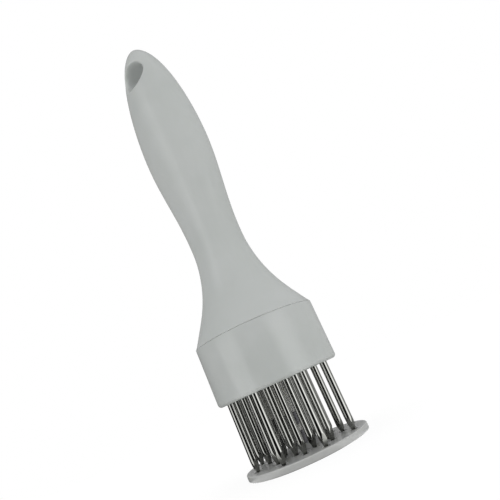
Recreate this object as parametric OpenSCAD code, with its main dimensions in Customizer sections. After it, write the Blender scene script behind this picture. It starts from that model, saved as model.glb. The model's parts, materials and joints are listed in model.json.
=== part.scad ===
// Needle meat tenderizer: a handle and head with three rings of ground needles, and a sprung foot
// plate that slides up the needles when the tool is pressed down. The origin is the centre of the
// foot plate's underside, +Z runs up the handle, and the handle is broad along X.

/* [Foot plate] */
// Distance by which the plate's rim stands inside the skirt's
plate_inset = 0.2; // [0:0.1:1.5]
// Thickness of the foot plate
plate_t = 2.5; // [2.3:0.1:4]
// Chamfer round both edges of the foot plate
plate_edge = 0.4; // [0.1:0.1:0.8]
// Diameter of the boss that the plate nut sits on
boss_d = 11; // [10:0.5:13]
// Height of the boss above the plate
boss_h = 2.1; // [1:0.1:4]
// Radial clearance of the plate's holes round the needles
hole_gap = 0.35; // [0.3:0.05:0.6]

/* [Needles] */
// Needles in each of the three rings
per_ring = 8; // [4:4:8]
// Turn of the needle pattern from the handle's breadth, in degrees
pattern_turn = -7.5; // [-22.5:0.5:22.5]
// Diameter of a needle
needle_d = 2.85; // [1.6:0.05:3.1]
// Radius of the inner ring of needles
inner_ring_r = 9.6; // [9.2:0.1:10]
// Gap between the outer needles and the skirt's lip
lip_gap = 0.3; // [0.2:0.1:1]
// Length of the four ground flats at a needle's point
point_l = 6.2; // [4:0.1:9]
// Width of the blunt end of the point
point_w = 0.4; // [0.2:0.1:0.8]
// Height of the points above the plate's underside when the foot is down
point_rise = 0.8; // [0.4:0.1:1.6]
// Diameter of the upset head that holds a needle in the block
needle_head_d = 4.1; // [3.4:0.1:4.6]
// Thickness of the upset head
needle_head_t = 1.2; // [0.8:0.1:2]

/* [Head] */
// Bare length of the needles between the foot plate and the skirt
reach = 26.2; // [24:0.1:32]
// Gap that is left between the plate and the skirt at the top of the stroke
head_gap = 1.2; // [0.8:0.1:3]
// Outer diameter of the skirt
skirt_d = 50.4; // [48:0.2:60]
// Height of the skirt
skirt_h = 23.8; // [22:0.1:30]
// Wall of the skirt
skirt_wall = 1.8; // [1.6:0.1:2.2]
// Width of the lip inside the skirt that the needle block rests on
lip_w = 0.8; // [0.5:0.1:0.9]
// Thickness of that lip
lip_t = 2; // [1.6:0.1:3]
// Rounding of the skirt's lower outer edge
skirt_round = 1.4; // [0.6:0.1:1.5]
// Chamfer on both sides of the seam between skirt and handle
seam = 0.3; // [0.1:0.1:0.6]
// Thickness of the needle block above its nut well
web_t = 1.6; // [1.3:0.1:3]
// Thickness of the plate that clamps the needle heads
clamp_t = 3; // [2:0.1:4]

/* [Block screws] */
// Number of screws that hold the needle block
screw_count = 4; // [2:2:4]
// Shank diameter of a block screw
screw_d = 3; // [2.5:0.1:3.2]
// Head diameter of a block screw
screw_head_d = 5.4; // [4.6:0.1:5.6]
// Head height of a block screw
screw_head_t = 2; // [1.4:0.1:2.4]
// Depth from the block's underside to the seat of the screw heads
screw_seat = 4; // [3:0.1:6]
// Length of the shank
screw_l = 17; // [14:0.5:18]

/* [Foot drive] */
// Diameter of the push rod
rod_d = 8; // [7:0.1:8.4]
// Diameter of the threaded stem
stem_d = 5; // [4:0.1:5]
// Depth of the stem in the push rod
stem_grip = 12; // [8:0.5:20]
// Head diameter of the countersunk stem
stem_head_d = 9; // [8.6:0.1:9.4]
// Depth of the stem's head below the plate's face
stem_sink = 0.2; // [0.1:0.1:0.4]
// Size of the stem's hexagon socket across its flats
socket_af = 3; // [2:0.5:3]
// Depth of the hexagon socket
socket_depth = 1.4; // [1:0.1:1.6]
// Width of the nuts across their flats
nut_af = 8; // [7.4:0.1:8.4]
// Thickness of the nuts
nut_t = 4.5; // [3.2:0.1:4.8]
// Bare length of the stem between the two nuts
stem_bare = 2.7; // [1:0.1:4]
// Running clearance of the push rod in its bush
rod_gap = 0.05; // [0.02:0.01:0.1]
// Wall of the guide bush
bush_wall = 2.4; // [2.2:0.1:2.6]
// Height of the guide bush above its flange
bush_l = 9; // [6:0.5:12]
// Width of the bush's flange beyond its body
bush_flange = 0.7; // [0.4:0.1:0.8]
// Thickness of the stop ring
ring_t = 1.5; // [1:0.1:2]
// Depth of the stop ring's groove in the push rod
groove = 0.5; // [0.3:0.1:0.8]
// Opening of the stop ring
ring_mouth = 5; // [3:0.5:6]
// Clearance at both ends of the stroke
stop_gap = 0.3; // [0.2:0.1:0.5]

/* [Return spring] */
// Length of the spring in the tool
spring_l = 44; // [42:0.5:50]
// Mean diameter of the spring
spring_d = 11; // [10.6:0.1:11.4]
// Diameter of the spring's wire
wire_d = 1; // [0.8:0.05:1.1]
// Turns of the spring between its closed ends
spring_turns = 11; // [8:1:13]
// Thickness of the cup that the spring pushes on
cup_t = 1.2; // [0.8:0.1:2]
// Radial clearance of the spring in its bore
spring_gap = 0.65; // [0.5:0.05:1]

/* [Handle] */
// Height of the flare between the skirt and the neck
flare_h = 39.5; // [36:0.5:50]
// Angle between the flare's lower edge and the axis, in degrees
flare_slope = 32; // [28:1:36]
// Height from the neck to the thickest part of the grip
swell_h = 48; // [40:0.5:60]
// Height of the rounded end above the thickest part of the grip
end_h = 54.4; // [46:0.2:65]
// Breadth of the neck
neck_w = 23.6; // [21:0.2:30]
// Thickness of the neck
neck_t = 20.2; // [19:0.2:26]
// Breadth of the grip
grip_w = 33; // [31:0.5:40]
// Thickness of the grip
grip_t = 23.6; // [20:0.2:30]
// Fullness of the grip's section, where 2 is an ellipse
fullness = 2.2; // [2:0.1:2.8]
// Bluntness of the rounded end seen from the front, where 2 is an ellipse
end_blunt_w = 1.9; // [1.7:0.1:2.4]
// Bluntness of the rounded end seen from the side
end_blunt_t = 2.2; // [1.7:0.1:2.4]
// Diameter of the hanging hole
hang_d = 12; // [8:0.5:13]
// Distance of the hanging hole's centre from the handle's tip
hang_from_tip = 16.2; // [15:0.2:24]
// Size of the rounding at both mouths of the hanging hole
hang_round = 2.4; // [1:0.1:2.8]

/* [Hidden] */
$fn = 96;
// Clearance between pieces that are fixed to each other
fit = 0.05;
// Length by which a cut runs past the face that it opens
past = 1;
plastic = [0.75, 0.77, 0.76];
inner_plastic = [0.66, 0.68, 0.68];
steel = [0.72, 0.73, 0.75];
spring_steel = [0.55, 0.56, 0.58];

// Heights above the plate's underside
boss_top = plate_t + boss_h;
rod_bottom = boss_top + 2 * nut_t + stem_bare;
skirt_bottom = plate_t + reach;
skirt_top = skirt_bottom + skirt_h;
block_bottom = skirt_bottom + lip_t;
stroke = reach - head_gap;
well_top = rod_bottom + stroke + stop_gap;
block_top = well_top + web_t;
clamp_top = block_top + clamp_t;
bush_top = clamp_top + bush_l;
ring_bottom = bush_top + stop_gap;
spring_bottom = ring_bottom + ring_t;
spring_top = spring_bottom + spring_l;
bore_top = spring_top + cup_t;
rod_top = spring_top - stroke - stop_gap;
neck_z = skirt_top + flare_h;
grip_z = neck_z + swell_h;
tip_z = grip_z + end_h;
hang_z = tip_z - hang_from_tip;

// Radii
skirt_r = skirt_d / 2;
plate_r = skirt_r - plate_inset;
skirt_bore_r = skirt_r - skirt_wall;
block_r = skirt_bore_r - fit;
lip_r = skirt_bore_r - lip_w;
rod_r = rod_d / 2;
stem_r = stem_d / 2;
needle_r = needle_d / 2;
nut_corner_r = nut_af / 2 / cos(30);
well_r = max(nut_corner_r + 2 * stop_gap, rod_r + 2 * stop_gap);
bush_r = rod_r + rod_gap + bush_wall;
flange_r = bush_r + bush_flange;
spring_bore_r = spring_d / 2 + wire_d / 2 + spring_gap;

// Needle pattern: the inner and outer rings line up and the middle ring stands between them
step = 360 / per_ring;
outer_ring_r = lip_r - lip_gap - needle_r;
middle_ring_r = (inner_ring_r + outer_ring_r) / 2;
ring_r = [inner_ring_r, middle_ring_r, outer_ring_r];
ring_turn = [step / 2, 0, step / 2];
// Turn of the flats on each ring's points within the pattern
flat_turn = [step, step, 0];
needle_total = 3 * per_ring;
needle_names = [for (i = [1 : needle_total]) str("needle_", i < 10 ? "0" : "", i)];

// Centre of needle i, counted from the inner ring outwards
function ring_of(i) = floor(i / per_ring);
function needle_angle(i) = pattern_turn + ring_turn[ring_of(i)] + step * (i % per_ring);
function needle_at(i) = ring_r[ring_of(i)] * [cos(needle_angle(i)), sin(needle_angle(i))];

module at_needles() {
    for (i = [0 : needle_total - 1]) translate(needle_at(i)) children();
}

module at_screws() {
    for (k = [0 : screw_count - 1])
        rotate(pattern_turn + step / 2 + k * 360 / screw_count)
            translate([middle_ring_r, 0]) children();
}

module cyl(r, z0, z1) {
    translate([0, 0, z0]) cylinder(r = r, h = z1 - z0);
}

module cone(r0, r1, z0, z1) {
    translate([0, 0, z0]) cylinder(r1 = r0, r2 = r1, h = z1 - z0);
}

// A disc or bush from z0 to z1, with the same chamfer on both outer edges
module chamfered(r, z0, z1, edge) {
    rotate_extrude()
        polygon([[0, z0], [r - edge, z0], [r, z0 + edge], [r, z1 - edge], [r - edge, z1], [0, z1]]);
}

// ---- Handle -------------------------------------------------------------------------------

section_sides = 48;
flare_steps = 14;
swell_steps = 12;
end_steps = 12;

// The flare starts as a cone at the skirt and turns into an arc that ends upright at the neck
function arc_h(half) = min(flare_h, (flare_h * tan(flare_slope) - skirt_r + half)
                                    / (tan(flare_slope) - tan(flare_slope / 2)));
function arc_drop(half) = skirt_r - half - (flare_h - arc_h(half)) * tan(flare_slope);
function arc_r(half) = (pow(arc_h(half), 2) + pow(arc_drop(half), 2)) / (2 * arc_drop(half));
function flare(z, half) = neck_z - z > arc_h(half)
    ? skirt_r - (z - skirt_top) * tan(flare_slope)
    : half + arc_r(half) - sqrt(pow(arc_r(half), 2) - pow(neck_z - z, 2));
// Half-breadth on the smooth swell from the neck to the grip
function swell(z, neck, grip) = neck + (grip - neck) * (1 - cos(180 * (z - neck_z) / swell_h)) / 2;
// Half-breadth of the rounded end
function end_half(z, grip, blunt) = grip * pow(max(0, 1 - pow((z - grip_z) / end_h, blunt)), 1 / blunt);
function end_half_w(z) = end_half(z, grip_w / 2, end_blunt_w);
function end_half_t(z) = end_half(z, grip_t / 2, end_blunt_t);

// A station is a height, two half-breadths and how far the section has left the skirt's circle
function flare_station(z) = [z, flare(z, neck_w / 2), flare(z, neck_t / 2),
                             (z - skirt_top) / flare_h];
function swell_station(z) = [z, swell(z, neck_w / 2, grip_w / 2), swell(z, neck_t / 2, grip_t / 2), 1];
function end_station(z) = [z, end_half_w(z), end_half_t(z), 1];

stations = concat(
    [[skirt_top, skirt_r - seam, skirt_r - seam, 0]],
    [for (i = [0 : flare_steps - 1])
        flare_station(skirt_top + seam + (flare_h - seam) * i / flare_steps)],
    [for (i = [0 : swell_steps - 1]) swell_station(neck_z + swell_h * i / swell_steps)],
    [for (i = [0 : end_steps - 1]) end_station(grip_z + end_h * sin(90 * i / end_steps))]);

function signed_pow(v, p) = sign(v) * pow(abs(v), p);
function section_point(st, a) =
    let (p = 2 / (2 + (fullness - 2) * st[3]))
    [st[1] * signed_pow(cos(a), p), st[2] * signed_pow(sin(a), p), st[0]];

module handle_body() {
    n = section_sides;
    last = len(stations) - 1;
    points = concat(
        [for (st = stations) for (k = [0 : n - 1]) section_point(st, 360 * k / n)],
        [[0, 0, tip_z]]);
    sides = [for (i = [0 : last - 1]) for (k = [0 : n - 1])
        let (a = i * n + k, b = i * n + (k + 1) % n)
        each [[a, a + n, b + n], [a, b + n, b]]];
    crown = [for (k = [0 : n - 1]) [last * n + k, len(points) - 1, last * n + (k + 1) % n]];
    base = [[for (k = [0 : n - 1]) k]];
    polyhedron(points = points, faces = concat(sides, crown, base), convexity = 4);
}

mouth_spokes = 36;
mouth_steps = 5;
// Step between the rounding's end and the bore's own surface
mouth_step = 0.15;

// Distance from the middle plane to the rounded end's face, at radius r on a spoke of the hole
function face_y(r, a) =
    let (x = r * cos(a), z = hang_z + r * sin(a))
    end_half_t(z) * pow(max(0, 1 - pow(abs(x) / end_half_w(z), fullness)), 1 / fullness);
function on_spoke(r, y, a) = [r * cos(a), -y, hang_z + r * sin(a)];
// The rounding leaves the face at u = 0 and runs into the bore at u = 1
function mouth_point(u, a) =
    let (inner = hang_d / 2 + mouth_step, outer = inner + hang_round, edge = face_y(inner, a))
    on_spoke(inner + hang_round * pow(1 - u, 2),
             pow(1 - u, 2) * face_y(outer, a) + (1 - pow(1 - u, 2)) * edge - u * u * hang_round, a);

// What the rounding takes away at the mouth in the -Y face
module hang_mouth() {
    n = mouth_spokes;
    last = mouth_steps + 1;
    points = concat(
        [for (k = [0 : n - 1])
            on_spoke(hang_d / 2 + mouth_step + hang_round, grip_t / 2 + past, 360 * k / n)],
        [for (j = [0 : mouth_steps]) for (k = [0 : n - 1]) mouth_point(j / mouth_steps, 360 * k / n)],
        [on_spoke(0, grip_t / 2 + past, 0), on_spoke(0, past, 0)]);
    sides = [for (j = [0 : last - 1]) for (k = [0 : n - 1])
        let (a = j * n + k, b = j * n + (k + 1) % n)
        each [[a, b, b + n], [a, b + n, a + n]]];
    outer = len(points) - 2;
    caps = [for (k = [0 : n - 1])
        each [[outer, (k + 1) % n, k], [outer + 1, last * n + k, last * n + (k + 1) % n]]];
    polyhedron(points = points, faces = concat(sides, caps), convexity = 4);
}

// The hanging hole runs through the thickness and is rounded at both faces
module hang_hole() {
    reach_out = grip_t / 2 + past;
    translate([0, 0, hang_z]) rotate([90, 0, 0]) cyl(hang_d / 2, -reach_out, reach_out);
    for (turn = [0, 180]) rotate(turn) hang_mouth();
}

module handle() {
    color(plastic) difference() {
        union() {
            handle_body();
            cyl(block_r, clamp_top, skirt_top + past);
        }
        cyl(spring_bore_r, clamp_top - past, bore_top);
        at_screws() cyl(screw_d / 2, clamp_top - past, block_bottom + screw_seat + screw_l + fit);
        hang_hole();
    }
}

// ---- Head ---------------------------------------------------------------------------------

module head_skirt() {
    color(plastic) rotate_extrude() difference() {
        translate([lip_r, skirt_bottom]) square([skirt_r - lip_r, skirt_h]);
        translate([lip_r - past, block_bottom]) square([skirt_bore_r - lip_r + past, skirt_h]);
        // The lower outer corner outside the rounding
        difference() {
            translate([skirt_r - skirt_round, skirt_bottom - past])
                square([skirt_round + past, skirt_round + past]);
            translate([skirt_r - skirt_round, skirt_bottom + skirt_round]) circle(skirt_round);
        }
        // The chamfer at the seam
        polygon([[skirt_r - seam, skirt_top], [skirt_r, skirt_top - seam],
                 [skirt_r + past, skirt_top - seam], [skirt_r + past, skirt_top + past],
                 [skirt_r - seam, skirt_top + past]]);
    }
}

module needle_block() {
    color(plastic) difference() {
        cyl(block_r, block_bottom, block_top);
        cyl(well_r, block_bottom - past, well_top);
        cyl(rod_r + stop_gap, well_top - past, block_top + past);
        at_needles() {
            cyl(needle_r + fit, block_bottom - past, block_top + past);
            cyl(needle_head_d / 2 + fit, block_top - needle_head_t - fit, block_top + past);
        }
        at_screws() {
            cyl(screw_d / 2 + 2 * fit, block_bottom - past, block_top + past);
            cyl(screw_head_d / 2 + stop_gap, block_bottom - past, block_bottom + screw_seat);
        }
    }
}

module clamp_plate() {
    color(inner_plastic) difference() {
        cyl(block_r, block_top, clamp_top);
        cyl(flange_r + fit, block_top - past, clamp_top + past);
        at_screws() cyl(screw_d / 2 + 2 * fit, block_top - past, clamp_top + past);
    }
}

module block_screws() {
    seat = block_bottom + screw_seat;
    color(steel) at_screws() difference() {
        union() {
            chamfered(screw_head_d / 2, seat - screw_head_t, seat, plate_edge);
            cyl(screw_d / 2, seat - plate_edge, seat + screw_l);
        }
        translate([0, 0, seat - screw_head_t - past])
            cylinder(r = screw_d / 2, h = past + screw_head_t / 2, $fn = 6);
    }
}

// ---- Needles ------------------------------------------------------------------------------

// Two crossed wedges leave four ground flats on the bar
module needle_point_wedge() {
    rotate([90, 0, 0]) linear_extrude(height = needle_head_d + past, center = true)
        polygon([[-point_w / 2, point_rise], [point_w / 2, point_rise],
                 [needle_r, point_rise + point_l], [needle_r, block_top],
                 [-needle_r, block_top], [-needle_r, point_rise + point_l]]);
}

module needle(i) {
    color(steel) translate(needle_at(i)) {
        rotate(pattern_turn + flat_turn[ring_of(i)]) intersection() {
            cyl(needle_r, point_rise, block_top - needle_head_t / 2);
            needle_point_wedge();
            rotate(90) needle_point_wedge();
        }
        cyl(needle_head_d / 2, block_top - needle_head_t, block_top);
    }
}

// ---- Foot and its drive -------------------------------------------------------------------

module foot_plate() {
    color(plastic) difference() {
        union() {
            chamfered(plate_r, 0, plate_t, plate_edge);
            cyl(boss_d / 2, plate_t - plate_edge, boss_top);
        }
        cyl(stem_r + fit, -past, boss_top + past);
        cone(stem_head_d / 2 + fit, stem_r + fit, stem_sink, stem_sink + stem_head_d / 2 - stem_r);
        cyl(stem_head_d / 2 + fit, -past, stem_sink);
        at_needles() cyl(needle_r + hole_gap, -past, plate_t + past);
    }
}

module stem_screw() {
    color(steel) difference() {
        union() {
            cone(stem_head_d / 2, stem_r, stem_sink, stem_sink + stem_head_d / 2 - stem_r);
            cyl(stem_r, stem_sink, rod_bottom + stem_grip);
        }
        translate([0, 0, stem_sink - past])
            cylinder(r = socket_af / 2 / cos(30), h = past + socket_depth, $fn = 6);
    }
}

// A hexagon nut with the corners of both faces turned off
module nut(z0) {
    corner = nut_corner_r - nut_af / 2;
    color(steel) difference() {
        intersection() {
            translate([0, 0, z0]) cylinder(r = nut_corner_r, h = nut_t, $fn = 6);
            chamfered(nut_corner_r, z0, z0 + nut_t, corner);
        }
        cyl(stem_r + fit, z0 - past, z0 + nut_t + past);
    }
}

module plate_nut() {
    nut(boss_top);
}

module jam_nut() {
    nut(rod_bottom - nut_t);
}

module push_rod() {
    color(plastic) difference() {
        chamfered(rod_r, rod_bottom, rod_top, groove);
        cyl(stem_r + fit, rod_bottom - past, rod_bottom + stem_grip + fit);
        difference() {
            cyl(rod_r + past, ring_bottom, spring_bottom);
            cyl(rod_r - groove, ring_bottom - past, spring_bottom + past);
        }
    }
}

module stop_ring() {
    color(spring_steel) difference() {
        cyl(spring_d / 2 + wire_d / 2, ring_bottom, spring_bottom);
        cyl(rod_r - groove + fit, ring_bottom - past, spring_bottom + past);
        translate([0, -ring_mouth / 2, ring_bottom - past])
            cube([spring_d, ring_mouth, ring_t + 2 * past]);
    }
}

module guide_bush() {
    color(inner_plastic) difference() {
        union() {
            cyl(flange_r, block_top, clamp_top);
            cyl(min(bush_r, spring_bore_r - fit), clamp_top, bush_top);
        }
        cyl(rod_r + rod_gap, block_top - past, bush_top + past);
    }
}

module spring_cup() {
    color(steel) cyl(spring_bore_r - fit, spring_top, bore_top);
}

// ---- Return spring ------------------------------------------------------------------------

wire_sides = 6;
coil_steps = 16;
// Pitch of the closed turns at both ends
end_pitch = 1.5 * wire_d;
coil_turns = spring_turns + 2;
open_pitch = (spring_l - wire_d - 2 * end_pitch) / spring_turns;

// Height of the wire's centre above the spring's foot after so many turns
function coil_z(turn) = wire_d / 2 + (turn < 1 ? turn * end_pitch
    : turn > coil_turns - 1 ? end_pitch + spring_turns * open_pitch
                              + (turn - coil_turns + 1) * end_pitch
    : end_pitch + (turn - 1) * open_pitch);
function wire_point(turn, a) =
    let (r = spring_d / 2 + wire_d / 2 * cos(a))
    [r * cos(360 * turn), r * sin(360 * turn), spring_bottom + coil_z(turn) + wire_d / 2 * sin(a)];

module return_spring() {
    n = wire_sides;
    last = coil_turns * coil_steps;
    points = [for (i = [0 : last]) for (k = [0 : n - 1]) wire_point(i / coil_steps, 360 * k / n)];
    sides = [for (i = [0 : last - 1]) for (k = [0 : n - 1])
        let (a = i * n + k, b = i * n + (k + 1) % n)
        each [[a, b, b + n], [a, b + n, a + n]]];
    ends = [[for (k = [n - 1 : -1 : 0]) k], [for (k = [0 : n - 1]) last * n + k]];
    color(spring_steel) polyhedron(points = points, faces = concat(sides, ends), convexity = 20);
}

handle();
head_skirt();
needle_block();
clamp_plate();
block_screws();
guide_bush();
spring_cup();
return_spring();
stop_ring();
push_rod();
jam_nut();
plate_nut();
stem_screw();
foot_plate();
for (i = [0 : needle_total - 1]) needle(i);
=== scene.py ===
"""Lengths are written in millimetres and angles in degrees. The tool stands on its foot plate, with
+Z up the handle and +X along the handle's breadth.
"""

import json
import math
import random

import bmesh
import bpy
from mathutils import Matrix, Vector


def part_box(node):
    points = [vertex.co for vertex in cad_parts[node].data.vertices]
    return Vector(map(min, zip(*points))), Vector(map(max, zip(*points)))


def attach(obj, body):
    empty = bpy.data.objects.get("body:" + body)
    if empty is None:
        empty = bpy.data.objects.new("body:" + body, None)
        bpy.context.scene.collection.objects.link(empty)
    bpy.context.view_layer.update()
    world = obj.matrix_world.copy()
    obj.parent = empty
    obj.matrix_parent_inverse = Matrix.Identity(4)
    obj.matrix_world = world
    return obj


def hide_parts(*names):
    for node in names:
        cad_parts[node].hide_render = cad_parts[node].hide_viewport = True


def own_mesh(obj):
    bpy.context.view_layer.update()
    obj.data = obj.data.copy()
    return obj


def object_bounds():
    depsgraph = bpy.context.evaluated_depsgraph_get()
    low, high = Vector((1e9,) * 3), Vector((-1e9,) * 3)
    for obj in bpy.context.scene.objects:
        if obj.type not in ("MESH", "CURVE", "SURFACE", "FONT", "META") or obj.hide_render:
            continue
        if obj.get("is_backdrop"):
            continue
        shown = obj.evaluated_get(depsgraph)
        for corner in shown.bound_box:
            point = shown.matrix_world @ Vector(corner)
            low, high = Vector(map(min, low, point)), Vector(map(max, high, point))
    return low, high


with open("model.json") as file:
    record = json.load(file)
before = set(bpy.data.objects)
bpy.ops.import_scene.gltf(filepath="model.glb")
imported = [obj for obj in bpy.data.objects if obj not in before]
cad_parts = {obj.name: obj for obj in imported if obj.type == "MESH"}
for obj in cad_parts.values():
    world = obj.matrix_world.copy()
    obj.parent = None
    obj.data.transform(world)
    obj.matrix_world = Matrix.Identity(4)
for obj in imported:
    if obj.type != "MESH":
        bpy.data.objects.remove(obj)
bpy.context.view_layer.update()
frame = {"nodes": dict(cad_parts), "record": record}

MM = 0.001
TOOL = "handle_and_head"
FOOT = "foot"


# ---- Sizes ----------------------------------------------------------------------------------

def span(node):
    """Lowest and highest corner of a CAD node at rest, in millimetres."""
    low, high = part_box(node)
    return low / MM, high / MM


skirt_low, skirt_high = span("head_skirt")
handle_low, handle_high = span("handle")
plate_high = span("foot_plate")[1]
rod_low, rod_high = span("push_rod")
stem_low, stem_high = span("stem_screw")
block_low, block_high = span("needle_block")
spring_low, spring_high = span("return_spring")
needle_low, needle_high = span("needle_01")

SKIRT_R = skirt_high.x
SKIRT_TOP = skirt_high.z
SKIRT_BOTTOM = skirt_low.z
SKIRT_WALL = 1.8
SKIRT_ROUND = 1.4
SKIRT_BORE_ROUND = 0.15
LIP_W = 0.8
LIP_TOP_ROUND = 0.1
LIP_EDGE_ROUND = 0.25
SEAM_ROUND = 0.3
# The handle's side of the seam is a little flatter than a quarter of a circle
SEAM_FLATNESS = 0.8

# The handle's stations above the skirt, and its half-breadths there
FLARE_H = 39.5
FLARE_SLOPE = math.radians(32)
SWELL_H = 48.0
NECK = (11.8, 10.1)
GRIP = (16.5, 11.8)
END_BLUNT = (1.9, 2.2)
FULLNESS = 2.2
NECK_Z = SKIRT_TOP + FLARE_H
GRIP_Z = NECK_Z + SWELL_H
TIP_Z = handle_high.z
END_H = TIP_Z - GRIP_Z
SPIGOT_R = block_high.x
SPIGOT_BOTTOM = handle_low.z
SPIGOT_CHAMFER = 0.3
SPRING_BORE_R = 6.65
SPRING_BORE_TOP = span("spring_cup")[1].z

HANG_R = 6.0
HANG_Z = TIP_Z - 16.2
# The mouth's rounding, wider across the handle than along it
HANG_ROUND = (2.6, 0.9)
HANG_ROUND_DEPTH = 6.8

PLATE_R = plate_high.x
PLATE_T = 2.5
PLATE_ROUND = 0.45
BOSS_R = 5.5
BOSS_TOP = plate_high.z
BOSS_ROUND = 0.3
BOSS_FILLET = 0.4
SEAT_ROUND = 0.1
NEEDLE_HOLE_R = 1.775
HOLE_EDGE = 0.12

NEEDLE_R = 1.425
NEEDLE_HEAD_R = needle_high.x - (needle_low.x + needle_high.x) / 2
NEEDLE_HEAD_T = 1.2
NEEDLE_HEAD_CHAMFER = 0.2
POINT_L = 6.2
POINT_W = 0.4
# Bar above the point that is kept apart, so that the shading of the flats ends there
POINT_COLLAR = 0.3
# Turn of the four ground flats in degrees, and how far each needle may stand off it
FLATS_TURN = 82.5
FLATS_SCATTER = 16

ROD_R = rod_high.x
ROD_ROUND = 0.5
ROD_BORE_ROUND = 0.2
ROD_GROOVE = 0.5
GROOVE_ROUND = 0.05
STOP_RING = span("stop_ring")
STEM_R = 2.5
STEM_GAP = 0.05
STEM_HEAD_R = stem_high.x
STEM_HEAD_CHAMFER = 0.15
SOCKET_AF = 3.0
SOCKET_DEPTH = 1.4
THREAD_PITCH = 0.8
THREAD_DEPTH = 0.42
THREAD_RUN_IN = 0.2
THREAD_RUN_OUT = 0.5
STEM_TIP_CHAMFER = 0.7

WIRE_R = 0.5
COIL_TURNS = 13
COIL_END_PITCH = 1.5


# ---- Mesh tools -----------------------------------------------------------------------------

def rounded(corners, steps=6):
    """The closed outline of (r, z, radius) corners, with an arc at each that has a radius."""
    outline = []
    count = len(corners)
    for i, (r, z, radius) in enumerate(corners):
        here = Vector((r, z))
        if radius == 0:
            outline.append(here)
            continue
        back = (Vector(corners[i - 1][:2]) - here).normalized()
        ahead = (Vector(corners[(i + 1) % count][:2]) - here).normalized()
        half = back.angle(ahead) / 2
        centre = here + (back + ahead).normalized() * radius / math.sin(half)
        start = (here + back * radius / math.tan(half) - centre).normalized()
        end = (here + ahead * radius / math.tan(half) - centre).normalized()
        for j in range(steps + 1):
            outline.append(centre + start.slerp(end, j / steps) * radius)
    return [(p.x, p.y) for p in outline]


def quads(rows, columns, rows_close=False, columns_close=True):
    """Faces of a grid of points that is numbered row by row."""
    faces = []
    for i in range(rows if rows_close else rows - 1):
        for k in range(columns if columns_close else columns - 1):
            a, b = i * columns + k, i * columns + (k + 1) % columns
            up = ((i + 1) % rows - i) * columns
            faces.append((a, b, b + up, a + up))
    return faces


def make_mesh(name, points, faces, sharp=35):
    """A closed, smooth mesh from points in millimetres. It is creased where it turns by more than
    sharp."""
    mesh = bpy.data.meshes.new(name)
    mesh.from_pydata([tuple(float(c) * MM for c in p) for p in points], [], faces)
    shape = bmesh.new()
    shape.from_mesh(mesh)
    bmesh.ops.remove_doubles(shape, verts=shape.verts, dist=1e-7)
    bmesh.ops.dissolve_degenerate(shape, edges=shape.edges, dist=1e-7)
    bmesh.ops.recalc_face_normals(shape, faces=shape.faces)
    shape.to_mesh(mesh)
    shape.free()
    mesh.shade_smooth()
    mesh.set_sharp_from_angle(angle=math.radians(sharp))
    return mesh


def turned(name, outline, sides=160, sharp=35):
    """A mesh that is a closed outline of (r, z) points turned about the Z axis."""
    points = []
    for r, z in outline:
        for k in range(sides):
            turn = math.tau * k / sides
            points.append((r * math.cos(turn), r * math.sin(turn), z))
    return make_mesh(name, points, quads(len(outline), sides, rows_close=True), sharp)


def add_piece(name, mesh, material, body, stands_for, place=(0, 0, 0), turn=0):
    """Puts a mesh into the scene, on its body, in place of a CAD node."""
    piece = bpy.data.objects.new(name, mesh)
    bpy.context.scene.collection.objects.link(piece)
    piece.location = Vector(place) * MM
    piece.rotation_euler.z = math.radians(turn)
    if not mesh.materials:
        mesh.materials.append(material)
    normals = piece.modifiers.new("flat_faces_stay_flat", "WEIGHTED_NORMAL")
    normals.keep_sharp = True
    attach(piece, body)
    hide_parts(stands_for)
    return piece


# ---- Materials ------------------------------------------------------------------------------

def linear(colour):
    """A linear RGBA colour from sRGB hex."""
    channels = [int(colour[i:i + 2], 16) / 255 for i in (1, 3, 5)]
    return (*(c / 12.92 if c <= 0.04045 else ((c + 0.055) / 1.055) ** 2.4 for c in channels), 1)


def per_metre(size):
    """Texture scale at which a pattern repeats about every size millimetres."""
    return 1 / (size * MM)


def add(tree, kind, inputs=None, **settings):
    """Adds a shader node with its settings. Inputs are values, or outputs of other nodes."""
    made = tree.nodes.new("ShaderNode" + kind)
    for name, value in settings.items():
        setattr(made, name, value)
    for socket, value in (inputs or {}).items():
        if isinstance(value, bpy.types.NodeSocket):
            tree.links.new(value, made.inputs[socket])
        else:
            made.inputs[socket].default_value = value
    return made


def new_material(name):
    """An empty node material and its tree."""
    material = bpy.data.materials.new(name)
    material.use_nodes = True
    material.node_tree.nodes.clear()
    return material, material.node_tree


# Millimetres across the melt's clouds of colour and the mould's patches of gloss
CLOUD = 22
GLOSS_PATCH = 6
GLOSS_SPREAD = 0.04
# A noise's values lie mostly between these
NOISE_LOW, NOISE_HIGH = 0.2, 0.8


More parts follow.
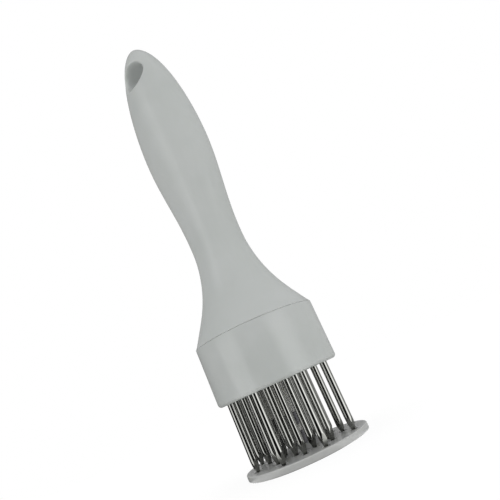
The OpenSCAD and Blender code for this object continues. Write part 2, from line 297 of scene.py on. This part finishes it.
def moulded_plastic(name, shade, light, roughness, grain):
    """Injection-moulded plastic. The mould's polish gives a soft gloss that is a little uneven, the
    melt's flow gives faint clouds of colour, and a fine grain breaks up what the face mirrors."""
    material, tree = new_material(name)
    place = add(tree, "TexCoord").outputs["Object"]
    clouds = add(tree, "TexNoise", {"Vector": place, "Scale": per_metre(CLOUD), "Detail": 3.0})
    share = add(tree, "MapRange", {"Value": clouds.outputs["Fac"], "From Min": NOISE_LOW,
                                   "From Max": NOISE_HIGH}, interpolation_type="SMOOTHSTEP")
    colour = add(tree, "Mix", {0: share.outputs["Result"], 6: linear(shade), 7: linear(light)},
                 data_type="RGBA")
    patches = add(tree, "TexNoise", {"Vector": place, "Scale": per_metre(GLOSS_PATCH),
                                     "Detail": 2.0})
    gloss = add(tree, "MapRange", {"Value": patches.outputs["Fac"], "From Min": NOISE_LOW,
                                   "From Max": NOISE_HIGH, "To Min": roughness - GLOSS_SPREAD,
                                   "To Max": roughness + GLOSS_SPREAD},
                interpolation_type="SMOOTHSTEP")
    fine = add(tree, "TexNoise", {"Vector": place, "Scale": per_metre(grain), "Detail": 2.0})
    bump = add(tree, "Bump", {"Height": fine.outputs["Fac"], "Strength": 0.12,
                              "Distance": 0.02 * MM})
    shader = add(tree, "BsdfPrincipled", {"Base Color": colour.outputs[2],
                                          "Roughness": gloss.outputs["Result"],
                                          "Normal": bump.outputs["Normal"], "IOR": 1.48,
                                          "Subsurface Weight": 0.4, "Subsurface Scale": 2.0 * MM,
                                          "Subsurface Radius": (1.0, 1.0, 0.9)})
    add(tree, "OutputMaterial", {"Surface": shader.outputs["BSDF"]})
    return material


def drawn_steel(name, colour, roughness, line, stretch, strength, metallic=1.0):
    """Steel with fine lines from drawing, grinding or turning. The lines are stretched along Z and
    are drawn wider than the real ones, which are too fine to show."""
    material, tree = new_material(name)
    place = add(tree, "TexCoord").outputs["Object"]
    along = add(tree, "Mapping", {"Vector": place, "Scale": (1.0, 1.0, 1 / stretch)})
    lines = add(tree, "TexNoise", {"Vector": along.outputs["Vector"], "Scale": per_metre(line),
                                   "Detail": 3.0})
    gloss = add(tree, "MapRange", {"Value": lines.outputs["Fac"], "From Min": 0.3, "From Max": 0.7,
                                   "To Min": roughness * 0.7, "To Max": roughness * 1.4})
    bump = add(tree, "Bump", {"Height": lines.outputs["Fac"], "Strength": strength,
                              "Distance": 0.01 * MM})
    shader = add(tree, "BsdfPrincipled", {"Base Color": linear(colour), "Metallic": metallic,
                                          "Roughness": gloss.outputs["Result"],
                                          "Normal": bump.outputs["Normal"]})
    add(tree, "OutputMaterial", {"Surface": shader.outputs["BSDF"]})
    return material


# ABS from a polished mould: pale grey, with a broad soft streak where it mirrors a lamp
abs_grey = moulded_plastic("abs_polished_mould", "#B9BDBB", "#C0C3C2", 0.17, 0.5)
# The foot's own moulding: the same ABS without the green in it, glossy enough to mirror the points
abs_foot = moulded_plastic("abs_foot_moulding", "#B4B5B4", "#BBBCBB", 0.22, 0.5)
# The push rod's undyed ABS: a base that is partly its own ivory white and partly painted light,
# raised to offset the needles' shade so that it looks pale grey there
abs_rod_painted_pale = moulded_plastic("abs_undyed_rod_painted_pale", "#E0E0DC", "#E8E8E4", 0.3, 0.5)
# Unpolished nylon inside the tool: a dull, slightly darker grey with no clear reflections
nylon = moulded_plastic("nylon_plain_mould", "#A4A8A6", "#ADB0AE", 0.5, 0.3)
# Stainless bar, drawn and polished: hard dark and light stripes that run the whole needle
needle_steel = drawn_steel("stainless_drawn_bar", "#A5A6A2", 0.06, 0.4, 60, 0.03)
# The points' ground flats: a grey satin, because the grinding lines scatter what they mirror
ground_steel = drawn_steel("stainless_ground_flat", "#868783", 0.22, 0.12, 1, 0.5)
# Screws and the spring cup, plain machined stainless: soft grey highlights
fastener_steel = drawn_steel("stainless_machined", "#B4B6B9", 0.26, 0.2, 4, 0.3)
# The stem's rolled and zinc-plated thread: nearly matt, with a near-white base that is only partly
# metal. That base paints light onto the stem that the dark room it mirrors doesn't give, making it
# the lightest metal on the tool
stem_painted_pale = drawn_steel("zinc_plated_thread_painted_pale", "#EEEEEB", 0.5, 0.2, 4, 0.3, metallic=0.35)
# The two nuts, tumbled and dull, the darkest metal on the tool. Their dark base is partly painted
# shade, matched to the deep shade the jam nut stands in inside the needle bundle
nut_painted_dark = drawn_steel("stainless_tumbled_nut_painted_dark", "#646467", 0.34, 0.2, 1, 0.4)
# Drawn spring wire: dark grey with a thin light line along each coil
wire_steel = drawn_steel("spring_wire_drawn", "#9C9EA2", 0.3, 0.1, 1, 0.3)

by_slot = {
    "abs_plastic": abs_grey,
    "nylon_plastic": nylon,
    "needle_steel": needle_steel,
    "fastener_steel": fastener_steel,
    "spring_steel": wire_steel,
}
for subpart in frame["record"]["subparts"]:
    solid = frame["nodes"][subpart["node"]]
    solid.data.materials.clear()
    solid.data.materials.append(by_slot[subpart["material_slot"]])
for nut in ("jam_nut", "plate_nut"):
    frame["nodes"][nut].data.materials[0] = nut_painted_dark


# ---- Handle ---------------------------------------------------------------------------------

def flare(z, neck):
    """Half-breadth of the flare: a cone at the skirt, then an arc that ends upright at the neck."""
    full, half = math.tan(FLARE_SLOPE), math.tan(FLARE_SLOPE / 2)
    arc_h = min(FLARE_H, (FLARE_H * full - SKIRT_R + neck) / (full - half))
    drop = SKIRT_R - neck - (FLARE_H - arc_h) * full
    radius = (arc_h ** 2 + drop ** 2) / (2 * drop)
    if NECK_Z - z > arc_h:
        return SKIRT_R - (z - SKIRT_TOP) * full
    return neck + radius - math.sqrt(radius ** 2 - (NECK_Z - z) ** 2)


def swell(z, neck, grip):
    """Half-breadth of the smooth swell from the neck to the grip."""
    return neck + (grip - neck) * (1 - math.cos(math.pi * (z - NECK_Z) / SWELL_H)) / 2


def end_half(z, grip, blunt):
    """Half-breadth of the rounded end."""
    return grip * max(0.0, 1 - ((z - GRIP_Z) / END_H) ** blunt) ** (1 / blunt)


def end_size(z):
    return tuple(end_half(z, grip, blunt) for grip, blunt in zip(GRIP, END_BLUNT))


def face_y(x, z):
    """Distance of the rounded end's face from the handle's middle plane."""
    broad, thick = end_size(z)
    return thick * max(0.0, 1 - (abs(x) / broad) ** FULLNESS) ** (1 / FULLNESS)


# How finely the skin is divided
HALF_COLUMNS = 64
SEAM_ROWS = 5
FLARE_ROWS = 36
SWELL_ROWS = 30
END_ROWS = 16
TIP_ROWS = 16
HOLE_COLUMNS = 20
HOLE_ROWS = 22
FACE_STEPS = 5
MOUTH_STEPS = 10
BORE_STEPS = 4
# The window in the skin that is filled in round the hanging hole, below and above its middle
HOLE_BELOW = 9.8
HOLE_ABOVE = 9.1


def handle_stations():
    """(half-breadth, half-thickness, height, fullness) of each ring, from the spring bore's end
    down to the spigot, and then up the outside to the tip, with the number of the hole's first
    ring."""
    def round_ring(r, z):
        return (r, r, z, 2)

    edge = SPIGOT_CHAMFER
    rings = [round_ring(0, SPRING_BORE_TOP), round_ring(SPRING_BORE_R, SPRING_BORE_TOP),
             round_ring(SPRING_BORE_R, SPIGOT_BOTTOM + edge),
             round_ring(SPRING_BORE_R + edge, SPIGOT_BOTTOM),
             round_ring(SPIGOT_R - edge, SPIGOT_BOTTOM), round_ring(SPIGOT_R, SPIGOT_BOTTOM + edge),
             round_ring(SPIGOT_R, SKIRT_TOP)]
    for j in range(SEAM_ROWS + 1):
        turn = math.pi / 2 * j / SEAM_ROWS
        rings.append(round_ring(SKIRT_R - SEAM_ROUND * (1 - math.sin(turn)),
                                SKIRT_TOP + SEAM_ROUND * (1 - math.cos(turn)) * SEAM_FLATNESS))
    for i in range(1, FLARE_ROWS):
        z = SKIRT_TOP + SEAM_ROUND + (FLARE_H - SEAM_ROUND) * i / FLARE_ROWS
        fullness = 2 + (FULLNESS - 2) * (z - SKIRT_TOP) / FLARE_H
        rings.append((flare(z, NECK[0]), flare(z, NECK[1]), z, fullness))
    for i in range(SWELL_ROWS):
        z = NECK_Z + SWELL_H * i / SWELL_ROWS
        rings.append((swell(z, NECK[0], GRIP[0]), swell(z, NECK[1], GRIP[1]), z, FULLNESS))
    hole_start, hole_end = HANG_Z - HOLE_BELOW, HANG_Z + HOLE_ABOVE
    for i in range(END_ROWS):
        z = GRIP_Z + (hole_start - GRIP_Z) * i / END_ROWS
        rings.append((*end_size(z), z, FULLNESS))
    first = len(rings)
    for i in range(HOLE_ROWS + 1):
        z = hole_start + (hole_end - hole_start) * i / HOLE_ROWS
        rings.append((*end_size(z), z, FULLNESS))
    start_turn = math.asin((hole_end - GRIP_Z) / END_H)
    for i in range(1, TIP_ROWS + 1):
        z = GRIP_Z + END_H * math.sin(start_turn + (math.pi / 2 - start_turn) * i / TIP_ROWS)
        rings.append((*end_size(z), z, FULLNESS))
    return rings, first


def section_point(ring, turn):
    """The point of a ring's superellipse at a parameter angle."""
    broad, thick, z, fullness = ring
    power = 2 / fullness
    c, s = math.cos(turn), math.sin(turn)
    return (broad * math.copysign(abs(c) ** power, c), thick * math.copysign(abs(s) ** power, s), z)


def spoke_points(corner):
    """Points from a corner of the grid, over the hole's rounded rim and down to the middle of its
    bore, in the half of the handle with y below zero."""
    x, z = corner[0], corner[2] - HANG_Z
    far, turn = math.hypot(x, z), math.atan2(z, x)
    across, up = math.cos(turn), math.sin(turn)

    def on_face(r):
        return face_y(r * across, HANG_Z + r * up)

    spread = math.hypot(across * HANG_ROUND[0], up * HANG_ROUND[1])
    rim = HANG_R + spread
    path = []
    for j in range(1, FACE_STEPS + 1):
        r = far + (rim - far) * j / FACE_STEPS
        path.append((r, on_face(r)))
    edge = on_face(HANG_R)
    for j in range(1, MOUTH_STEPS + 1):
        u = j / MOUTH_STEPS
        fade = (1 - u) ** 2
        path.append((HANG_R + spread * fade,
                     fade * on_face(rim) + (1 - fade) * edge - u * u * HANG_ROUND_DEPTH))
    wall = edge - HANG_ROUND_DEPTH
    path += [(HANG_R, wall * (1 - j / BORE_STEPS)) for j in range(1, BORE_STEPS + 1)]
    return [(r * across, -y, HANG_Z + r * up) for r, y in path]


def handle_mesh():
    """The handle as one closed skin: the half with y below zero, and its mirror image."""
    rings, first = handle_stations()
    columns = HALF_COLUMNS + 1
    points = [section_point(ring, math.pi * (1 + k / HALF_COLUMNS)) for ring in rings
              for k in range(columns)]
    left = HALF_COLUMNS // 2 - HOLE_COLUMNS
    right = HALF_COLUMNS // 2 + HOLE_COLUMNS
    last = first + HOLE_ROWS
    faces = [f for f in quads(len(rings), columns, columns_close=False)
             if not (first <= f[0] // columns < last and left <= f[0] % columns < right)]
    border = [first * columns + k for k in range(left, right)]
    border += [i * columns + right for i in range(first, last)]
    border += [last * columns + k for k in range(right, left, -1)]
    border += [i * columns + left for i in range(last, first, -1)]
    spokes = [spoke_points(points[i]) for i in border]
    previous = border
    for depth in range(len(spokes[0])):
        start = len(points)
        points += [spoke[depth] for spoke in spokes]
        ring = list(range(start, start + len(border)))
        for k in range(len(border)):
            nxt = (k + 1) % len(border)
            faces.append((previous[k], previous[nxt], ring[nxt], ring[k]))
        previous = ring
    count = len(points)
    points += [(x, -y, z) for x, y, z in points]
    faces += [tuple(i + count for i in reversed(f)) for f in faces]
    return make_mesh("handle_moulding", points, faces, sharp=40)


# ---- Head -----------------------------------------------------------------------------------

def skirt_mesh():
    """The skirt, with the lip inside it that the needle block rests on."""
    bore = SKIRT_R - SKIRT_WALL
    shelf = block_low.z
    corners = [(SKIRT_R, SKIRT_BOTTOM, SKIRT_ROUND), (SKIRT_R, SKIRT_TOP, SEAM_ROUND),
               (bore, SKIRT_TOP, SKIRT_BORE_ROUND), (bore, shelf, 0),
               (bore - LIP_W, shelf, LIP_TOP_ROUND), (bore - LIP_W, SKIRT_BOTTOM, LIP_EDGE_ROUND)]
    return turned("head_skirt_shell", rounded(corners))


# ---- Needles --------------------------------------------------------------------------------

NEEDLE_SIDES = 64
POINT_ROWS = 26


def needle_mesh():
    """One bar along Z with its upset head at the top and four ground flats at the point."""
    bottom, top = needle_low.z, needle_high.z
    rows = [(0, bottom, 0), (NEEDLE_R, bottom, POINT_W / 2)]
    for i in range(1, POINT_ROWS + 1):
        share = i / POINT_ROWS
        rows.append((NEEDLE_R, bottom + POINT_L * share,
                     POINT_W / 2 + (NEEDLE_R - POINT_W / 2) * share))
    neck, head, edge = top - NEEDLE_HEAD_T, NEEDLE_HEAD_R, NEEDLE_HEAD_CHAMFER
    rows += [(NEEDLE_R, bottom + POINT_L + POINT_COLLAR, NEEDLE_R), (NEEDLE_R, neck, NEEDLE_R),
             (head - edge, neck, head), (head, neck + edge, head),
             (head, top - edge, head), (head - edge, top, head), (0, top, head)]
    points = []
    for r, z, flat in rows:
        for k in range(NEEDLE_SIDES):
            turn = math.tau * k / NEEDLE_SIDES
            c, s = math.cos(turn), math.sin(turn)
            reach = min(r, flat / max(abs(c), abs(s)))
            points.append((reach * c, reach * s, z))
    mesh = make_mesh("needle_bar", points, quads(len(rows), NEEDLE_SIDES), sharp=28)
    mesh.materials.append(needle_steel)
    mesh.materials.append(ground_steel)
    slope = (NEEDLE_R - POINT_W / 2) / POINT_L
    tilt = -slope / math.hypot(1, slope)
    for face in mesh.polygons:
        if face.center.z < (bottom + POINT_L) * MM and face.normal.z < tilt * 0.5:
            face.material_index = 1
    return mesh


# ---- Foot -----------------------------------------------------------------------------------

def hole_cutter():
    """All the needle holes of the foot plate as one mesh, each a little wider at both faces."""
    sides, past = 40, 1
    wide = NEEDLE_HOLE_R + HOLE_EDGE + past
    outline = [(0, -past), (wide, -past), (NEEDLE_HOLE_R, HOLE_EDGE),
               (NEEDLE_HOLE_R, PLATE_T - HOLE_EDGE), (wide, PLATE_T + past), (0, PLATE_T + past)]
    points, faces = [], []
    for x, y in needle_places:
        start = len(points)
        for r, z in outline:
            for k in range(sides):
                turn = math.tau * k / sides
                points.append((x + r * math.cos(turn), y + r * math.sin(turn), z))
        faces += [tuple(i + start for i in f) for f in quads(len(outline), sides)]
    return make_mesh("needle_hole_cutter", points, faces)


def foot_mesh():
    """The foot plate: a disc with a boss and a countersunk bore, and then its needle holes."""
    seat, bore, sink = STEM_HEAD_R + STEM_GAP, STEM_R + STEM_GAP, stem_low.z
    corners = [(seat, 0, SEAT_ROUND), (seat, sink, 0), (bore, sink + seat - bore, 0),
               (bore, BOSS_TOP, 0), (BOSS_R, BOSS_TOP, BOSS_ROUND), (BOSS_R, PLATE_T, BOSS_FILLET),
               (PLATE_R, PLATE_T, PLATE_ROUND), (PLATE_R, 0, PLATE_ROUND)]
    disc = bpy.data.objects.new("foot_blank", turned("foot_blank", rounded(corners)))
    tool = bpy.data.objects.new("foot_cutter", hole_cutter())
    for blank in (disc, tool):
        bpy.context.scene.collection.objects.link(blank)
    cut = disc.modifiers.new("needle_holes", "BOOLEAN")
    cut.operation, cut.solver, cut.object = "DIFFERENCE", "EXACT", tool
    solid = disc.evaluated_get(bpy.context.evaluated_depsgraph_get())
    mesh = bpy.data.meshes.new_from_object(solid)
    mesh.name = "foot_plate_disc"
    for blank in (disc, tool):
        bpy.data.objects.remove(blank)
    mesh.shade_smooth()
    mesh.set_sharp_from_angle(angle=math.radians(35))
    return mesh


def rod_mesh():
    """The push rod, with the groove that the stop ring snaps into."""
    ring_low, ring_high = STOP_RING[0].z, STOP_RING[1].z
    bore, deep = STEM_R + STEM_GAP, stem_high.z + STEM_GAP
    groove_r = ROD_R - ROD_GROOVE
    corners = [(0, rod_high.z, 0), (0, deep, 0), (bore, deep, 0), (bore, rod_low.z, ROD_BORE_ROUND),
               (ROD_R, rod_low.z, ROD_ROUND), (ROD_R, ring_low, GROOVE_ROUND),
               (groove_r, ring_low, GROOVE_ROUND), (groove_r, ring_high, GROOVE_ROUND),
               (ROD_R, ring_high, GROOVE_ROUND), (ROD_R, rod_high.z, ROD_ROUND)]
    return turned("push_rod_turned", rounded(corners), sides=96)


def stem_mesh():
    """The threaded stem, with a countersunk head and a hexagon socket at its foot."""
    sides, per_pitch = 48, 10
    bottom, top = stem_low.z, stem_high.z
    neck = bottom + STEM_HEAD_R - STEM_R

    def plain(r, z):
        return [(r, z)] * sides

    def hexagon(z):
        middle = math.radians(30)
        return [(SOCKET_AF / 2 / math.cos((math.tau * k / sides) % (2 * middle) - middle), z)
                for k in range(sides)]

    edge = STEM_HEAD_CHAMFER
    rows = [plain(0, bottom + SOCKET_DEPTH), hexagon(bottom + SOCKET_DEPTH), hexagon(bottom),
            plain(STEM_HEAD_R - edge, bottom), plain(STEM_HEAD_R, bottom + edge),
            plain(STEM_R, neck)]
    start, end = neck + THREAD_RUN_IN, top - THREAD_RUN_OUT
    # Across one pitch the thread has a narrow crest, two straight flanks and a flat root
    flank_slope, crest = 2.6, 0.15
    count = int((end - start) / THREAD_PITCH * per_pitch)
    for i in range(count + 1):
        z = start + (end - start) * i / count
        row = []
        for k in range(sides):
            phase = ((z - start) / THREAD_PITCH - k / sides) % 1
            depth = min(1, max(0, flank_slope * abs(phase - 0.5) - crest))
            row.append((STEM_R - THREAD_DEPTH * depth, z))
        rows.append(row)
    rows += [plain(STEM_R - THREAD_DEPTH, end + 0.1), plain(STEM_R - STEM_TIP_CHAMFER, top),
             plain(0, top)]
    points = [(r * math.cos(math.tau * k / sides), r * math.sin(math.tau * k / sides), z)
              for row in rows for k, (r, z) in enumerate(row)]
    return make_mesh("stem_threaded", points, quads(len(rows), sides), sharp=30)


def spring_mesh():
    """The return spring: round wire in open turns, with one closed turn at each end."""
    sides, steps = 14, 48
    mean = spring_high.x - WIRE_R
    length = spring_high.z - spring_low.z
    open_pitch = (length - 2 * WIRE_R - 2 * COIL_END_PITCH) / (COIL_TURNS - 2)

    def lift(turn):
        into_open = min(max(turn - 1, 0), COIL_TURNS - 2)
        return WIRE_R + into_open * open_pitch + (turn - into_open) * COIL_END_PITCH

    points = []
    last = COIL_TURNS * steps
    for i in range(-1, last + 2):
        turn = min(max(i, 0), last) / steps
        wire = 0 if i in (-1, last + 1) else WIRE_R
        for k in range(sides):
            round_wire = math.tau * k / sides
            r = mean + wire * math.cos(round_wire)
            points.append((r * math.cos(math.tau * turn), r * math.sin(math.tau * turn),
                           spring_low.z + lift(turn) + wire * math.sin(round_wire)))
    return make_mesh("return_spring_coil", points, quads(last + 3, sides), sharp=60)


# ---- Pieces ---------------------------------------------------------------------------------

add_piece("handle_moulding", handle_mesh(), abs_grey, TOOL, "handle")
add_piece("head_skirt_shell", skirt_mesh(), abs_grey, TOOL, "head_skirt")

needle_nodes = sorted(n for n in frame["nodes"] if n.startswith("needle_") and n[-1].isdigit())
needle_places = []
for needle_node in needle_nodes:
    low, high = span(needle_node)
    needle_places.append(((low.x + high.x) / 2, (low.y + high.y) / 2))

bar = needle_mesh()
turns = random.Random(11)
for needle_node, (x, y) in zip(needle_nodes, needle_places):
    turn = FLATS_TURN + turns.uniform(-FLATS_SCATTER, FLATS_SCATTER)
    add_piece(needle_node.replace("needle_", "needle_bar_"), bar, needle_steel, TOOL,
              needle_node, (x, y, 0), turn)

add_piece("foot_plate_disc", foot_mesh(), abs_foot, FOOT, "foot_plate")
add_piece("push_rod_turned", rod_mesh(), abs_rod_painted_pale, FOOT, "push_rod")
add_piece("stem_threaded", stem_mesh(), stem_painted_pale, FOOT, "stem_screw")

spring = add_piece("return_spring_coil", spring_mesh(), wire_steel, TOOL,
                   "return_spring")
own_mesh(spring)


# ---- Camera ---------------------------------------------------------------------------------

# Where the photograph was taken from: beside the tool, just below the skirt, looking up the handle
CAMERA_AZIMUTH = math.radians(42.0)
CAMERA_FROM_AXIS = 212.3
CAMERA_HEIGHT = 28.4
LOOK_AZIMUTH = math.radians(38.9)
LOOK_UP = math.radians(14.38)
CAMERA_ROLL = math.radians(-24.37)
CAMERA_LENS = 37.37


def add_camera():
    """The camera, turned about its own line of sight because the tool leans in the picture."""
    data = bpy.data.cameras.new("photo_camera")
    data.lens, data.sensor_width = CAMERA_LENS, 36
    data.clip_start, data.clip_end = 0.01, 20
    camera = bpy.data.objects.new("photo_camera", data)
    bpy.context.scene.collection.objects.link(camera)
    place = Vector((math.sin(CAMERA_AZIMUTH) * CAMERA_FROM_AXIS,
                    -math.cos(CAMERA_AZIMUTH) * CAMERA_FROM_AXIS, CAMERA_HEIGHT)) * MM
    ahead = Vector((-math.sin(LOOK_AZIMUTH) * math.cos(LOOK_UP),
                    math.cos(LOOK_AZIMUTH) * math.cos(LOOK_UP), math.sin(LOOK_UP)))
    level = ahead.cross(Vector((0, 0, 1))).normalized()
    across = level * math.cos(CAMERA_ROLL) + level.cross(ahead) * math.sin(CAMERA_ROLL)
    turn = Matrix((across, across.cross(ahead), -ahead)).transposed()
    camera.matrix_world = Matrix.Translation(place) @ turn.to_4x4()
    bpy.context.scene.camera = camera


add_camera()


# ---- Studio ---------------------------------------------------------------------------------

# What glossy faces mirror, as (degrees of azimuth from the camera's, brightness). Level with the
# tool it is a dark room with a strip light on each side. Higher up it is a pale wall with one strip
# light on the left, which leans as it rises, and overhead there is a dim ceiling
ROOM = [(-180, 0.25), (-140, 0.08), (-108, 0.02), (-80, 0.01), (-70, 1.6), (-41, 1.5), (-33, 0.01),
        (8, 0.01), (22, 0.06), (34, 2.2), (54, 2.2), (74, 0.5), (110, 0.5), (136, 0.5), (180, 0.25)]
UPPER_ROOM = [(-180, 0.4), (-100, 0.2), (-76, 0.1), (-60, 0.9), (-46, 1.5), (-34, 0.8), (55, 0.74),
              (110, 0.3), (180, 0.35)]
OVERHEAD = 0.25
ROOM_LEAN = 0.55
# How far a direction points up, as its Z, where the level band gives way to the upper one, and that
# one to the ceiling
LEVEL_ENDS = (0.09, 0.16)
UPPER_ENDS = (0.6, 0.85)
# What matt faces are lit by: an even white that is a little brighter from the camera's side, from
# the right and from below
FILL = 1.01
FILL_TOWARDS = (0.12, -0.08, -0.06)


def mirrored_room(tree, towards):
    """The colour that a mirror shows in a direction, given as a vector from the tool."""
    swung = add(tree, "VectorRotate", {"Vector": towards, "Axis": (0.0, 0.0, 1.0),
                                       "Angle": -CAMERA_AZIMUTH})
    parts = add(tree, "SeparateXYZ", {"Vector": swung.outputs["Vector"]})
    ahead = add(tree, "Math", {0: parts.outputs["Y"], 1: -1.0}, operation="MULTIPLY")
    azimuth = add(tree, "Math", {0: parts.outputs["X"], 1: ahead.outputs[0]}, operation="ARCTAN2")
    leant = add(tree, "Math", {0: parts.outputs["Z"], 1: ROOM_LEAN, 2: azimuth.outputs[0]},
                operation="MULTIPLY_ADD")
    share = add(tree, "MapRange", {"Value": leant.outputs[0], "From Min": -math.pi,
                                   "From Max": math.pi})
    bands = []
    for band in (ROOM, UPPER_ROOM):
        ramp = add(tree, "ValToRGB", {"Fac": share.outputs["Result"]})
        stops = ramp.color_ramp.elements
        stops.remove(stops[-1])
        for i, (degrees, level) in enumerate(band):
            stop = stops[0] if i == 0 else stops.new((degrees + 180) / 360)
            stop.position = (degrees + 180) / 360
            stop.color = (level, level, level, 1)
        bands.append(ramp.outputs["Color"])
    upper = add(tree, "MapRange", {"Value": parts.outputs["Z"], "From Min": LEVEL_ENDS[0],
                                   "From Max": LEVEL_ENDS[1]})
    sides = add(tree, "Mix", {0: upper.outputs["Result"], 6: bands[0], 7: bands[1]},
                data_type="RGBA")
    top = add(tree, "MapRange", {"Value": parts.outputs["Z"], "From Min": UPPER_ENDS[0],
                                 "From Max": UPPER_ENDS[1]})
    room = add(tree, "Mix", {0: top.outputs["Result"], 6: sides.outputs[2],
                             7: (OVERHEAD, OVERHEAD, OVERHEAD, 1)}, data_type="RGBA")
    return room.outputs[2], swung.outputs["Vector"]


def add_world():
    """White for the camera, a soft fill for matt faces and the room for glossy ones."""
    world = bpy.data.worlds.new("studio")
    bpy.context.scene.world = world
    world.use_nodes = True
    world.cycles.sampling_method = "NONE"
    tree = world.node_tree
    tree.nodes.clear()
    towards = add(tree, "TexCoord").outputs["Generated"]
    room, swung = mirrored_room(tree, towards)
    side = add(tree, "VectorMath", {0: swung, 1: FILL_TOWARDS}, operation="DOT_PRODUCT")
    level = add(tree, "Math", {0: side.outputs["Value"], 1: FILL}, operation="ADD")
    fill = add(tree, "Background", {"Color": (1, 1, 1, 1), "Strength": level.outputs[0]})
    mirrored = add(tree, "Background", {"Color": room, "Strength": 1.0})
    white = add(tree, "Background", {"Color": (1, 1, 1, 1), "Strength": 1.0})
    path = add(tree, "LightPath")
    lit = add(tree, "MixShader", {0: path.outputs["Is Glossy Ray"], 1: fill.outputs[0],
                                  2: mirrored.outputs[0]})
    seen = add(tree, "MixShader", {0: path.outputs["Is Camera Ray"], 1: lit.outputs[0],
                                   2: white.outputs[0]})
    add(tree, "OutputWorld", {"Surface": seen.outputs[0]})


# In metres
FLOOR_HALF = 1.5
FLOOR_DROP = 0.00002
FLOOR_GLOW = 0.86
# What the camera sees of the floor's own shading, the rest of its white being glow
FLOOR_SHADED = 0.16


def add_floor():
    """A pale sweep under the tool. It glows for the camera, so that it stays white with no more
    light on the tool, and it keeps the tool's faint shadow. Glossy faces see the room carried on
    down over it, as they do over a table's dark edge."""
    material, tree = new_material("white_paper_sweep")
    paper = add(tree, "BsdfDiffuse", {"Color": linear("#E8E8E6")})
    shaded = add(tree, "BsdfDiffuse", {"Color": (FLOOR_SHADED, FLOOR_SHADED, FLOOR_SHADED, 1)})
    glow = add(tree, "Emission", {"Color": (1, 1, 1, 1), "Strength": FLOOR_GLOW})
    lit = add(tree, "AddShader", {0: shaded.outputs[0], 1: glow.outputs[0]})
    room, _ = mirrored_room(tree, add(tree, "TexCoord").outputs["Object"])
    mirrored = add(tree, "Emission", {"Color": room, "Strength": 1.0})
    path = add(tree, "LightPath")
    unseen = add(tree, "MixShader", {0: path.outputs["Is Glossy Ray"], 1: paper.outputs[0],
                                     2: mirrored.outputs[0]})
    surface = add(tree, "MixShader", {0: path.outputs["Is Camera Ray"], 1: unseen.outputs[0],
                                      2: lit.outputs[0]})
    add(tree, "OutputMaterial", {"Surface": surface.outputs[0]})
    corners = [(-FLOOR_HALF, -FLOOR_HALF), (FLOOR_HALF, -FLOOR_HALF), (FLOOR_HALF, FLOOR_HALF),
               (-FLOOR_HALF, FLOOR_HALF)]
    mesh = bpy.data.meshes.new("floor")
    mesh.from_pydata([(x, y, -FLOOR_DROP) for x, y in corners], [], [(0, 1, 2, 3)])
    mesh.materials.append(material)
    floor = bpy.data.objects.new("floor", mesh)
    bpy.context.scene.collection.objects.link(floor)
    floor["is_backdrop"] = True


add_world()
add_floor()

bpy.context.scene.view_settings.view_transform = "Standard"

low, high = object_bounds()
